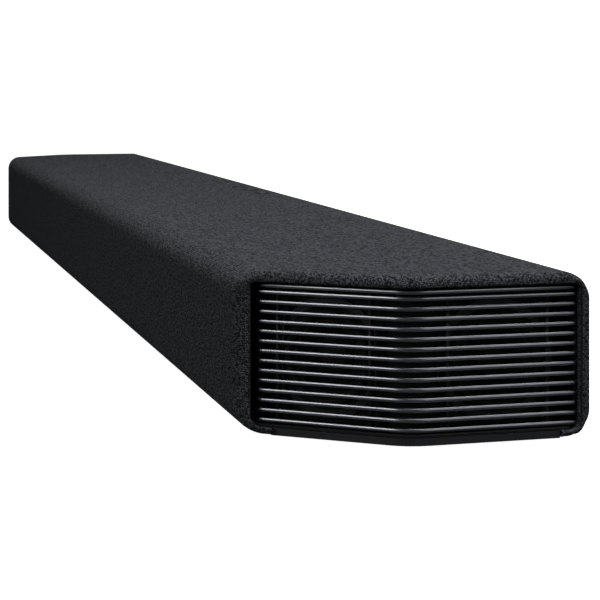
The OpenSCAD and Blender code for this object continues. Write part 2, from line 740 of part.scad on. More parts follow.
inlet_y = 0;
inlet_width = 20;
inlet_height = 11;
hdmi_y = [-13, 3];
hdmi_width = 15;
hdmi_height = 6;
optical_y = 15.5;
optical_width = 9;
pairing_shift = -24;
pairing_radius = 2.5;
socket_x = bay_x + bay_length / 2;      // inner face of a bay's socket wall

// A socket's block with its mouth towards the middle of the bar, flush with the bay's wall
module socket_block(side, y, w, h, depth) on_side(side) translate([socket_x, bay_y + y, socket_z])
    block([0.2, -w / 2, -h / 2], [depth, w / 2, h / 2]);

module power_inlet() color("#141414") {
    difference() {
        socket_block(-1, inlet_y, inlet_width, inlet_height, 18);
        translate([-socket_x - 5.5, bay_y + inlet_y, socket_z])
            cube([12, inlet_width - 3, inlet_height - 3], center = true);
    }
    for (i = [-1, 1]) translate([-socket_x - 12.5, bay_y + inlet_y + i * 4.3, socket_z])
        rotate([0, 90, 0]) cylinder(r = 1.2, h = 10);
}

module hdmi_sockets() color("#b9babd") for (y = hdmi_y) {
    difference() {
        socket_block(1, y, hdmi_width, hdmi_height, 12);
        translate([socket_x + 4, bay_y + y, socket_z])
            cube([10, hdmi_width - 1, hdmi_height - 1.4], center = true);
    }
    translate([socket_x + 5.5, bay_y + y, socket_z]) cube([8, hdmi_width - 4, 1], center = true);
}

module optical_socket() color("#141414") difference() {
    socket_block(1, optical_y, optical_width, optical_width, 14);
    translate([socket_x + 6.5, bay_y + optical_y, socket_z])
        cube([13.4, optical_width - 1.6, optical_width - 1.6], center = true);
}

// Flap that closes the optical socket and swings in about its top edge
module optical_door() color("#2b2c2e") translate([socket_x + 1.2, bay_y + optical_y, socket_z])
    block([0, -optical_width / 2 + 1.1, -optical_width / 2 + 1.2],
        [0.8, optical_width / 2 - 1.1, optical_width / 2 - 1.1]);

// Small button in the roof of the right bay, pressed upwards
module pairing_button() color("#2f3134") translate([bay_x + pairing_shift, bay_y, bay_roof]) {
    translate([0, 0, -0.8]) cylinder(r = pairing_radius, h = inner_wall + 0.9);
    translate([0, 0, inner_wall + 0.1]) cylinder(r = pairing_radius + 1, h = 0.8);
}

// ---- the nodes ----

fabric_cover();
grille_shell();
end_frame(-1);  // end_frame_left
end_frame(1);  // end_frame_right
end_bars(-1);  // end_bars_left
end_bars(1);  // end_bars_right
bottom_cover();
rubber_feet();
case_screws();
bracket_inserts();
front_baffle();
top_deck();
chamber_walls();
end_baffle(-1);  // end_baffle_left
end_baffle(1);  // end_baffle_right
top_button(0);  // mic_button
top_button(1);  // volume_down_button
top_button(2);  // volume_up_button
top_button(3);  // source_button
status_lens();
control_board();
display_module();
main_board();
wireless_module();
amplifier_board();
heat_sink();
power_board();
power_inlet();
hdmi_sockets();
optical_socket();
optical_door();
pairing_button();
woofer_frames(-1);  // left_woofer_frames
woofer_frames(0);  // center_woofer_frames
woofer_frames(1);  // right_woofer_frames
woofer_cones(-1);  // left_woofer_cones
woofer_cones(0);  // center_woofer_cones
woofer_cones(1);  // right_woofer_cones
woofer_surrounds(-1);  // left_woofer_surrounds
woofer_surrounds(0);  // center_woofer_surrounds
woofer_surrounds(1);  // right_woofer_surrounds
tweeter(-1);  // left_tweeter
tweeter(0);  // center_tweeter
tweeter(1);  // right_tweeter
end_driver_frames(-1);  // left_end_driver_frames
end_driver_frames(1);  // right_end_driver_frames
end_cone(-1, 0);  // left_wide_cone
end_cone(1, 0);  // right_wide_cone
end_cone(-1, 1);  // left_side_cone
end_cone(1, 1);  // right_side_cone
end_surround(-1, 0);  // left_wide_surround
end_surround(1, 0);  // right_wide_surround
end_surround(-1, 1);  // left_side_surround
end_surround(1, 1);  // right_side_surround
top_driver_frame(-1);  // left_top_driver_frame
top_driver_frame(1);  // right_top_driver_frame
top_cone(-1);  // left_top_cone
top_cone(1);  // right_top_cone
top_surround(-1);  // left_top_surround
top_surround(1);  // right_top_surround
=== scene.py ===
"""A soundbar in a knitted sleeve, with open, chamfered ends closed off by metal bars.

Everything is worked out in millimetres and turned to metres as it is put into a mesh.
X runs along the bar, the front faces -Y and Z is up."""

import math

import bmesh
import bpy
import numpy as np
from mathutils import Matrix, Vector


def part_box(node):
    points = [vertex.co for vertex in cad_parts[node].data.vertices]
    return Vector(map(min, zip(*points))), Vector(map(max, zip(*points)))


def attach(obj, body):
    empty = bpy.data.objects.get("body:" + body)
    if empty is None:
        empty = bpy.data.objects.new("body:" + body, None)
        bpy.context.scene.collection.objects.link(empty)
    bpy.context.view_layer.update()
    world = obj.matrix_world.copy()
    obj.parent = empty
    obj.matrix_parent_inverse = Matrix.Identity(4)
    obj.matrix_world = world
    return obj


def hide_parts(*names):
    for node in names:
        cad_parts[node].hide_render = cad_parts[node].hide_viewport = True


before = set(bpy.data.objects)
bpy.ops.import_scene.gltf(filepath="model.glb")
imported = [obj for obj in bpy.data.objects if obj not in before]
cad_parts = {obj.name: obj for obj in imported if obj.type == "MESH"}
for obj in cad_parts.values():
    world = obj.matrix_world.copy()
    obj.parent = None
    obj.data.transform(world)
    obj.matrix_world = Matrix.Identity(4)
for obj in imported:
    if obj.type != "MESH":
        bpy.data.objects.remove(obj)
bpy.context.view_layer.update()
MM = 0.001


def corners(node):
    """A CAD node's lowest and highest corners in millimetres."""
    low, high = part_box(node)
    return np.array(low) / MM, np.array(high) / MM


# ---- sizes, in millimetres ----

sleeve_low, sleeve_high = corners("fabric_cover")
HALF = sleeve_high[0]                   # half the length
FRONT, BACK = sleeve_low[1], sleeve_high[1]
FLOOR, ROOF = sleeve_low[2], sleeve_high[2]
EDGE = 11.0                             # radius of the sleeve's four long edges
FACET = math.radians(42)                # angle between an end's front part and Y
FOLD_Y = FRONT + 60                     # where an end folds
FOLD_RADIUS = 25.0
FRONT_CORNER = 10.0                     # upright corner between the front and an end
REAR_CORNER = 1.2                       # upright corner between the back and an end
KNIT_THICKNESS = 0.7
KNIT_TUCK = 2.2                         # how far the knit runs into an end opening
LIP_FRONT, LIP_REAR = 13.6, 12.0        # how far the knit runs under the bar
OPEN_LOW = np.array([FRONT + 6.35, FLOOR + 2.75])   # the knit's end opening, as y and z
OPEN_HIGH = np.array([BACK - 3.75, ROOF - 4.75])
LOW_CORNER, HIGH_CORNER = 4.4, 2.4      # radii of its lower and upper corners
BAR_COUNT = 15
BAR_SETBACK = 6.0                       # from the knit's end face to a bar's middle
BAR_LOWEST, BAR_HIGHEST = FLOOR + 5.1, ROOF - 5.4
TOP_BAR_RISE = 2.7                      # from the last bar but one up to the highest
BAR_BEND = 1.5                          # radius of a bar's bends into its legs
BAR_LEG = 2.0                           # straight part of a leg
BAR_ROUNDING = 0.5                      # length of a bar's rounded tips
DRIVER_GAP = 37.0                       # from the fold to an end driver's axis
SIDE_DRIVER_SHIFT = 3.0                 # the rear driver sits this much further back
BAFFLE_INSET = 13.0                     # from the knit's end face to the wall the drivers sit in
RIB_SPREAD = 21.5                       # from a driver's axis to the ribs at its two sides
RIB_DEPTH, RIB_WIDTH = 3.4, 1.4
RIB_STANDOFF = 5.2                      # from the baffle to a rib's middle
BUTTON_RADIUS, BUTTON_HOLE = 5.0, 5.3
BUTTON_EDGE = 0.6                       # rounding of a button's rim
BUTTON_DISH = 0.18                      # how far a button's middle is sunk
LENS_HOLE = 1.35
SHELL_DEPTH = 2.7                       # from the roof to a button's flange
CHANNEL_X = 84.0                        # middle of each cable channel
NOTCH_WIDTH, NOTCH_HEIGHT = 29.2, 12.6  # notch in the knit's rear lip for a cable channel
TOP_BUTTONS = ("mic_button", "volume_down_button", "volume_up_button", "source_button")


# ---- meshes ----

def new_piece(name, points, faces, uv=None):
    """Makes a smooth-shaded object from points in millimetres and faces as rows of point numbers."""
    mesh = bpy.data.meshes.new(name)
    mesh.from_pydata((np.asarray(points, float) * MM).tolist(), [], [list(f) for f in faces])
    mesh.polygons.foreach_set("use_smooth", np.full(len(mesh.polygons), True))
    if uv is not None:
        layer = mesh.uv_layers.new(name="cloth")
        loops = np.empty(len(mesh.loops), np.int32)
        mesh.loops.foreach_get("vertex_index", loops)
        layer.data.foreach_set("uv", (np.asarray(uv, float)[loops] * MM).astype(np.float32).ravel())
    mesh.update()
    piece = bpy.data.objects.new(name, mesh)
    bpy.context.collection.objects.link(piece)
    return piece


def grid_faces(rows, columns, start=0, closed=False):
    """Four-sided faces of a grid whose points are numbered row by row. With closed, the last row
    joins the first."""
    r = np.arange(rows if closed else rows - 1)[:, None]
    c = np.arange(columns - 1)[None, :]
    a = r * columns + c
    b = ((r + 1) % rows) * columns + c
    return (np.stack([a, b, b + 1, a + 1], -1).reshape(-1, 4) + start).tolist()


def sweep(path, profile, up=(0, 0, 1), dome=0.0):
    """Carries a closed profile along a path. Each ring stands square to the path, the profile's first
    number pointing sideways and its second along up. With dome, the profile shrinks at both ends along
    a quarter circle of that length, as a rounded bar end does. Returns points and faces."""
    path, profile, up = np.asarray(path, float), np.asarray(profile, float), np.asarray(up, float)
    along = np.gradient(path, axis=0)
    along /= np.linalg.norm(along, axis=1)[:, None]
    side = np.cross(along, up)
    side /= np.linalg.norm(side, axis=1)[:, None]
    rise = np.cross(side, along)
    scale = np.ones(len(path))
    if dome:
        turn = np.linspace(0.12, 1, 5) * math.pi / 2
        for at, sign in ((0, -1), (-1, 1)):
            extra = path[at] + sign * along[at] * (dome * np.cos(turn))[:, None]
            size = np.sin(turn)
            if at == 0:
                path = np.vstack([extra[:-1], path])
                scale = np.concatenate([size[:-1], scale])
                side, rise, along = (np.vstack([np.repeat(v[:1], 4, 0), v]) for v in (side, rise, along))
            else:
                path = np.vstack([path, extra[:-1][::-1]])
                scale = np.concatenate([scale, size[:-1][::-1]])
                side, rise, along = (np.vstack([v, np.repeat(v[-1:], 4, 0)]) for v in (side, rise, along))
    rings = (path[:, None, :] + scale[:, None, None] * (profile[None, :, :1] * side[:, None, :]
                                                       + profile[None, :, 1:] * rise[:, None, :]))
    n, m = rings.shape[:2]
    points = np.concatenate([rings.reshape(-1, 3), path[:1], path[-1:]])
    ring = np.arange(n)[:, None] * m
    k = np.arange(m)[None, :]
    nxt = (np.arange(m) + 1)[None, :] % m
    a, b = ring[:-1] + k, ring[:-1] + nxt
    walls = np.stack([a, a + m, b + m, b], -1).reshape(-1, 4).tolist()
    k, nxt = np.arange(m), (np.arange(m) + 1) % m
    first = np.stack([np.full(m, n * m), k, nxt], -1).tolist()
    last = np.stack([np.full(m, n * m + 1), nxt + (n - 1) * m, k + (n - 1) * m], -1).tolist()
    return points, walls + first + last


def turned(profile, centre, steps=48):
    """Turns a profile of radius and height about an upright axis through centre. A radius of 0
    closes a pole."""
    profile = np.asarray(profile, float)
    angle = np.linspace(0, 2 * math.pi, steps, endpoint=False)
    radius, height = profile[None, :, 0], profile[None, :, 1]
    rings = np.stack([radius * np.cos(angle)[:, None], radius * np.sin(angle)[:, None],
                      np.repeat(height, steps, 0)], -1) + np.asarray(centre, float)
    return rings.reshape(-1, 3), grid_faces(steps, len(profile), closed=True)


def joined(parts):
    """Puts several point and face lists into one."""
    points, faces, start = [], [], 0
    for p, f in parts:
        points.append(p)
        faces += [[i + start for i in face] for face in f]
        start += len(p)
    return np.concatenate(points), faces


def outwards(piece):
    """Merges points closer than a hundredth of a millimetre and makes every face point outwards."""
    work = bmesh.new()
    work.from_mesh(piece.data)
    bmesh.ops.remove_doubles(work, verts=work.verts, dist=0.01 * MM)
    bmesh.ops.recalc_face_normals(work, faces=work.faces)
    work.to_mesh(piece.data)
    work.free()
    return piece


def baked(piece):
    """Turns a piece's modifiers into plain mesh."""
    depsgraph = bpy.context.evaluated_depsgraph_get()
    mesh = bpy.data.meshes.new_from_object(piece.evaluated_get(depsgraph))
    piece.modifiers.clear()
    piece.data = mesh
    return piece


def rounded_rectangle(width, height, radius, steps=5):
    """Outline of a rectangle about the origin with round corners."""
    turn = np.linspace(0, math.pi / 2, steps)
    out = []
    for q, (sx, sy) in enumerate(((1, 1), (-1, 1), (-1, -1), (1, -1))):
        a = turn + q * math.pi / 2
        out.append(np.stack([sx * (width / 2 - radius) + radius * np.cos(a),
                             sy * (height / 2 - radius) + radius * np.sin(a)], -1))
    return np.concatenate(out)


# ---- the knitted sleeve ----

def plan_reach(y):
    """Half the bar's length at depth y: a small arc at the front corner, the slanted facet, the arc of
    the fold, the straight rear part and a small arc at the back corner."""
    y = np.asarray(y, float)
    front_x = HALF - (FOLD_Y - FRONT) * math.tan(FACET)
    corner_x = front_x - FRONT_CORNER * math.tan((math.pi / 2 - FACET) / 2)
    corner_y = FRONT + FRONT_CORNER
    facet_y = corner_y - FRONT_CORNER * math.sin(FACET)
    fold_x, fold_y = HALF - FOLD_RADIUS, FOLD_Y + FOLD_RADIUS * math.tan(FACET / 2)
    fold_start = fold_y - FOLD_RADIUS * math.sin(FACET)

    def arc(centre_x, centre_y, radius):
        return centre_x + np.sqrt(np.maximum(radius * radius - (y - centre_y) ** 2, 0))

    return np.select(
        [y < facet_y, y < fold_start, y < fold_y, y < BACK - REAR_CORNER],
        [arc(corner_x, corner_y, FRONT_CORNER), HALF - (FOLD_Y - y) * math.tan(FACET),
         arc(fold_x, fold_y, FOLD_RADIUS), np.full_like(y, HALF)],
        arc(HALF - REAR_CORNER, BACK - REAR_CORNER, REAR_CORNER))


def around():
    """Points round the sleeve's cross-section from the front lip over the roof to the rear lip: the
    outer profile, the matching points on the end opening, and how far the outer normal points up."""
    outer, inner, up = [], [], []
    # steps along the lip, low edge, front, high edge and roof, then back down at the rear
    steps = (4, 16, 10, 16, 44, 16, 10, 16, 4)

    def spot(y, z):
        return np.array([y, z], float)

    def line(a, b, c, d, n, rise):
        t = np.linspace(0, 1, n, endpoint=False)[:, None]
        outer.append(a + (b - a) * t)
        inner.append(c + (d - c) * t)
        up.append(np.full(n, rise))

    def arc(centre, inner_centre, inner_radius, start, n):
        a = np.radians(start) - np.linspace(0, math.pi / 2, n, endpoint=False)
        ring = np.stack([np.cos(a), np.sin(a)], -1)
        outer.append(centre + EDGE * ring)
        inner.append(inner_centre + inner_radius * ring)
        up.append(np.abs(ring[:, 1]))

    low, high = spot(FRONT, FLOOR) + EDGE, spot(BACK, ROOF) - EDGE
    left, right, floor_z, top = OPEN_LOW[0], OPEN_HIGH[0], OPEN_LOW[1], OPEN_HIGH[1]
    lo, hi = LOW_CORNER, HIGH_CORNER
    line(spot(FRONT + LIP_FRONT, FLOOR), spot(low[0], FLOOR), spot(FRONT + LIP_FRONT, floor_z),
         spot(left + lo, floor_z), steps[0], 1)
    arc(low, spot(left + lo, floor_z + lo), lo, 270, steps[1])
    line(spot(FRONT, low[1]), spot(FRONT, high[1]), spot(left, floor_z + lo),
         spot(left, top - hi), steps[2], 0)
    arc(spot(low[0], high[1]), spot(left + hi, top - hi), hi, 180, steps[3])
    line(spot(low[0], ROOF), spot(high[0], ROOF), spot(left + hi, top),
         spot(right - hi, top), steps[4], 1)
    arc(high, spot(right - hi, top - hi), hi, 90, steps[5])
    line(spot(BACK, high[1]), spot(BACK, low[1]), spot(right, top - hi),
         spot(right, floor_z + lo), steps[6], 0)
    arc(spot(high[0], low[1]), spot(right - lo, floor_z + lo), lo, 0, steps[7])
    line(spot(high[0], FLOOR), spot(BACK - LIP_REAR, FLOOR), spot(right - lo, floor_z),
         spot(BACK - LIP_REAR, floor_z), steps[8] + 1, 1)
    outer[-1][-1], inner[-1][-1] = (BACK - LIP_REAR, FLOOR), (BACK - LIP_REAR, floor_z)
    return np.concatenate(outer), np.concatenate(inner), np.concatenate(up)


def sleeve_surface():
    """The knit's outer face. Each row is a thread that runs from one end to the other: straight along
    the bar, round the edge of the end on a quarter circle, over the rim, round the edge of the opening
    on a smaller one, and a little way in. Returns points row by row, faces, and flat cloth coordinates."""
    outer, inner, up = around()
    width = np.linalg.norm(inner - outer, axis=1)
    end_round = np.minimum(4.0 * up ** 0.7, width - 0.4)        # radius of the roof's edge at an end
    fine = np.maximum(end_round, 3.4)
    lip_round = np.minimum(2.7 - 1.7 * up, width - 0.5)[:, None]    # roll of the rim into the opening
    edge_steps, roll_steps, tuck_steps, half_steps = 11, 8, 4, 25
    turn = np.linspace(0, math.pi / 2, edge_steps)
    w = np.concatenate([
        np.minimum(fine[:, None] * (1 - np.cos(turn))[None, :], width[:, None] - lip_round),
        width[:, None] - lip_round + lip_round * np.sin(np.linspace(0, math.pi / 2, roll_steps))[None, :],
        np.repeat(width[:, None], tuck_steps, 1)], 1)
    w = np.sort(w, axis=1)
    inward = np.concatenate([np.zeros(edge_steps + roll_steps),
                             np.linspace(0, KNIT_TUCK, tuck_steps + 1)[1:]])

    def drop(radius, reach):
        """How far a quarter circle has fallen away at a distance from its start."""
        return radius - np.sqrt(np.maximum(radius * radius - (radius - np.clip(reach, 0, radius)) ** 2, 0))

    yz = outer[:, None, :] + (inner - outer)[:, None, :] * (w / width[:, None])[..., None]
    last = w - width[:, None] + lip_round
    x = (plan_reach(yz[..., 0]) - drop(np.maximum(end_round, 1e-6)[:, None], w)
         - (lip_round - np.sqrt(np.maximum(lip_round ** 2 - np.clip(last, 0, lip_round) ** 2, 0)))
         - inward[None, :])
    rim = np.concatenate([x[..., None], yz], -1)
    body = np.empty((len(outer), half_steps, 3))
    body[..., 0] = rim[:, :1, 0] * np.linspace(0, 1, half_steps + 1)[:-1]
    body[..., 1:] = outer[:, None, :]
    half = np.concatenate([body, rim], 1)
    mirror = half[:, :0:-1] * np.array([-1, 1, 1])
    grid = np.concatenate([mirror, half], 1)
    along = np.concatenate([np.zeros((len(grid), 1)),
                            np.cumsum(np.linalg.norm(np.diff(grid, axis=1), axis=2), 1)], 1)
    along -= along[:, grid.shape[1] // 2][:, None]
    across = np.concatenate([[0], np.cumsum(np.linalg.norm(np.diff(outer, axis=0), axis=1))])
    uv = np.stack([along, np.repeat(across[:, None], grid.shape[1], 1)], -1)
    faces = [face[::-1] for face in grid_faces(*grid.shape[:2])]
    return grid.reshape(-1, 3), faces, uv.reshape(-1, 2)


def make_sleeve():
    """The knitted sleeve with its thickness, its button holes and the notches for the cables."""
    points, faces, uv = sleeve_surface()
    sleeve = new_piece("knit_sleeve", points, faces, uv)
    thick = sleeve.modifiers.new("thickness", "SOLIDIFY")
    thick.thickness = KNIT_THICKNESS * MM
    thick.offset = -1
    holes = []
    for node in TOP_BUTTONS + ("status_lens",):
        low, high = corners(node)
        radius = LENS_HOLE if node == "status_lens" else BUTTON_HOLE
        centre = [(low[0] + high[0]) / 2, (low[1] + high[1]) / 2, 0]
        below, above = ROOF - 4, ROOF + 3
        drill = [[0, below], [radius, below], [radius, above], [0, above]]
        holes.append(turned(drill, centre, 40))
    notch_z = FLOOR + 4.3
    for side in (-1, 1):
        path = [[side * CHANNEL_X, BACK - LIP_REAR - 2, notch_z], [side * CHANNEL_X, BACK + 3, notch_z]]
        holes.append(sweep(path, rounded_rectangle(NOTCH_WIDTH, NOTCH_HEIGHT, 0.6)))
    cutter = outwards(new_piece("hole_cutter", *joined(holes)))
    cut = sleeve.modifiers.new("holes", "BOOLEAN")
    cut.object = cutter
    cut.operation, cut.solver = "DIFFERENCE", "EXACT"
    baked(sleeve)
    bpy.data.objects.remove(cutter)
    return sleeve


# ---- the bars at the ends ----

def arc_points(centre, radius, start, end, steps):
    """Points on an arc from one angle to another, in degrees."""
    a = np.radians(np.linspace(start, end, steps))
    return np.stack([centre[0] + radius * np.cos(a), centre[1] + radius * np.sin(a)], -1)


def bar_path(legs):
    """A right bar's middle line from above: a leg, a tight bend, the facet, the wide fold, the straight
    rear part, a tight bend and a leg. Without legs it stops short at both sides."""
    deg = math.degrees(FACET)
    out = np.array([math.cos(FACET), -math.sin(FACET)])         # away from the facet
    run = np.array([-math.sin(FACET), -math.cos(FACET)])        # along the facet, to the front
    rear_x = HALF - BAR_SETBACK
    fold = np.array([rear_x, FOLD_Y + BAR_SETBACK * math.tan(FACET / 2)])
    radius = FOLD_RADIUS - BAR_SETBACK
    bend = arc_points([rear_x - radius, fold[1] + radius * math.tan(FACET / 2)], radius, -deg, 0, 14)
    front_y, back_y = (FRONT + 9.8, BACK - 3.9) if legs else (FRONT + 11.2, BACK - 4.6)
    front = fold + run * ((fold[1] - front_y) / -run[1])
    back = np.array([rear_x, back_y])
    if not legs:
        return np.vstack([front, (front + bend[0]) / 2, bend, (back + bend[-1]) / 2, back])
    front_bend = arc_points(front - run * BAR_BEND - out * BAR_BEND, BAR_BEND, -deg - 90, -deg, 7)
    back_bend = arc_points(back - np.array([BAR_BEND, BAR_BEND]), BAR_BEND, 0, 90, 7)
    steps = np.linspace(0, 1, 6)[1:-1, None]
    facet = front_bend[-1] + (bend[0] - front_bend[-1]) * steps
    straight = bend[-1] + (back_bend[0] - bend[-1]) * steps
    return np.vstack([front_bend[0] - out * BAR_LEG, front_bend, facet, bend, straight, back_bend,
                      back_bend[-1] - [BAR_LEG, 0]])


def bar_profile():
    """Section of a bar as outward and upward: a gently crowned front face with tight corners, and a
    flat back. The crown's radius and the bar's height are both 1.6 mm."""
    crown = np.radians(np.linspace(-26.7, 26.7, 9))
    front = np.stack([0.95 - 1.6 + 1.6 * np.cos(crown), 1.6 * np.sin(crown)], -1)
    turn = np.radians(np.linspace(90, 180, 4))
    back = np.stack([-0.65 + 0.3 * np.cos(turn), 0.5 + 0.3 * np.sin(turn)], -1)
    corner = np.array([[0.73, 0.78], [0.66, 0.8]])
    return np.vstack([front, corner, back, back[::-1] * [1, -1], corner[::-1] * [1, -1]])


def bar_heights():
    """Middle heights of the bars. The highest one sits closer to the next, to clear the knit's edge."""
    heights = np.linspace(BAR_LOWEST, BAR_HIGHEST, BAR_COUNT)
    heights[-1] = heights[-2] + TOP_BAR_RISE
    return heights


def mirrored(name, parts, side):
    """One piece from parts made for the right end, mirrored when side is -1."""
    points, faces = joined(parts)
    points[:, 0] *= side
    return outwards(new_piece(name, points, faces))


def make_bars(side, name):
    """All the bars of one end. The highest one is tucked under the knit and has no legs."""
    profile, parts = bar_profile(), []
    for i, z in enumerate(bar_heights()):
        line = bar_path(i < BAR_COUNT - 1)
        parts.append(sweep(np.column_stack([line, np.full(len(line), z)]), profile, dome=BAR_ROUNDING))
    return mirrored(name, parts, side)


def make_ribs(side, name):
    """The upright ribs that tie the bars together: two behind each driver's bars and one at each end."""
    heights = bar_heights()
    run = np.array([-math.sin(FACET), -math.cos(FACET)])
    out = np.array([math.cos(FACET), -math.sin(FACET)])
    fold = np.array([HALF - BAFFLE_INSET, FOLD_Y + BAFFLE_INSET * math.tan(FACET / 2)])
    rear = fold + [0, DRIVER_GAP + SIDE_DRIVER_SHIFT - BAFFLE_INSET * math.tan(FACET / 2)]
    back, away = np.array([0.0, -1.0]), np.array([1.0, 0.0])
    spots = [(middle + along * i * RIB_SPREAD + outward * RIB_STANDOFF, along, heights[-1])
             for middle, along, outward in ((fold + run * DRIVER_GAP, run, out), (rear, back, away))
             for i in (-1, 1)]
    line = bar_path(True)
    spots += [(line[1] - out * 1.2, run, heights[-2]), (line[-2] - away * 1.2, back, heights[-2])]
    parts = []
    for spot, along, top in spots:
        path = np.array([[*spot, heights[0]], [*spot, top]])
        parts.append(sweep(path, rounded_rectangle(RIB_DEPTH, RIB_WIDTH, 0.3, 3), up=(*along, 0)))
    return mirrored(name, parts, side)


# ---- buttons ----

def cap_profile(radius, top):
    """Half-section of a button from its dished middle over a rounded edge down to its flange and stem."""
    flat = radius - BUTTON_EDGE
    r = np.linspace(0, flat, 8)
    dish = np.stack([r, top - BUTTON_DISH * (1 - (r / flat) ** 2)], -1)
    a = np.linspace(0, math.pi / 2, 7)[1:]
    edge = np.stack([flat + BUTTON_EDGE * np.sin(a), top - BUTTON_EDGE + BUTTON_EDGE * np.cos(a)], -1)
    base = ROOF - SHELL_DEPTH
    rest = [[radius, base], [radius + 1.2, base], [radius + 1.2, base - 0.8], [1.5, base - 0.8],
            [1.5, base - 2.3], [0, base - 2.3]]
    return np.vstack([dish, edge, rest])


def stroke(line, width=0.55, height=0.12):
    """A thin raised mark along a line drawn on a button's top."""
    return sweep(line, rounded_rectangle(width, height, height * 0.45, 3), dome=width * 0.4)


def mark_lines(kind):
    """Plain symbols as lines in millimetres about a button's middle."""
    if kind == "volume_down_button":
        return [np.array([[-1.8, 0], [0, 0], [1.8, 0]])]
    if kind == "volume_up_button":
        return [np.array([[-1.8, 0], [0, 0], [1.8, 0]]), np.array([[0, -1.8], [0, 0], [0, 1.8]])]
    if kind == "source_button":
        return [np.array([[-0.2, 1.9], [1.9, 1.9], [1.9, -1.9], [-0.2, -1.9]]),
                np.array([[-2.2, 0], [-0.8, 0], [0.7, 0]]), np.array([[-0.3, 0.9], [0.7, 0], [-0.3, -0.9]])]
    capsule = np.vstack([arc_points((0, 1.0), 0.75, 0, 180, 16), arc_points((0, -0.1), 0.75, 180, 360, 16)])
    return [capsule, arc_points((0, 0), 1.5, 190, 350, 16), np.array([[0, -1.5], [0, -1.9], [0, -2.3]])]


def make_button(node):
    """A button's cap and the mark on its top."""
    low, high = corners(node)
    centre = np.array([(low[0] + high[0]) / 2, (low[1] + high[1]) / 2, 0])
    cap = outwards(new_piece(node + "_cap", *turned(cap_profile(BUTTON_RADIUS, high[2]), centre)))
    marks = []
    for line in mark_lines(node):
        path = np.column_stack([line, np.full(len(line), high[2] - 0.08)]) + centre
        marks.append(stroke(path))
    mark = outwards(new_piece(node + "_mark", *joined(marks)))
    return cap, mark


# ---- materials ----

def colour(code):
    """An sRGB hex colour as linear red, green, blue and alpha."""
    parts = [int(code[i:i + 2], 16) / 255 for i in (1, 3, 5)]
    return tuple(c / 12.92 if c <= 0.04045 else ((c + 0.055) / 1.055) ** 2.4 for c in parts) + (1.0,)


def add(tree, kind, settings=None, links=None):
    """Adds a shader node, sets its properties and sockets, and links sockets from other nodes' outputs."""
    made = tree.nodes.new("ShaderNode" + kind)
    for key, value in (settings or {}).items():
        if isinstance(key, int) or key in made.inputs:
            made.inputs[key].default_value = value
        else:
            setattr(made, key, value)
    for key, source in (links or {}).items():
        tree.links.new(source, made.inputs[key])
    return made


SOCKETS = {"base": "Base Color", "rough": "Roughness", "metal": "Metallic", "specular": "Specular IOR Level",
           "sheen": "Sheen Weight", "sheen_rough": "Sheen Roughness", "sheen_tint": "Sheen Tint"}


def blank(name, **settings):
    """A new material and its one main shader, with plain values set on the shader's own sockets."""
    material = bpy.data.materials.new(name)
    material.use_nodes = True
    shader = material.node_tree.nodes["Principled BSDF"]
    for key, value in settings.items():
        shader.inputs[SOCKETS[key]].default_value = value
    return material, material.node_tree, shader


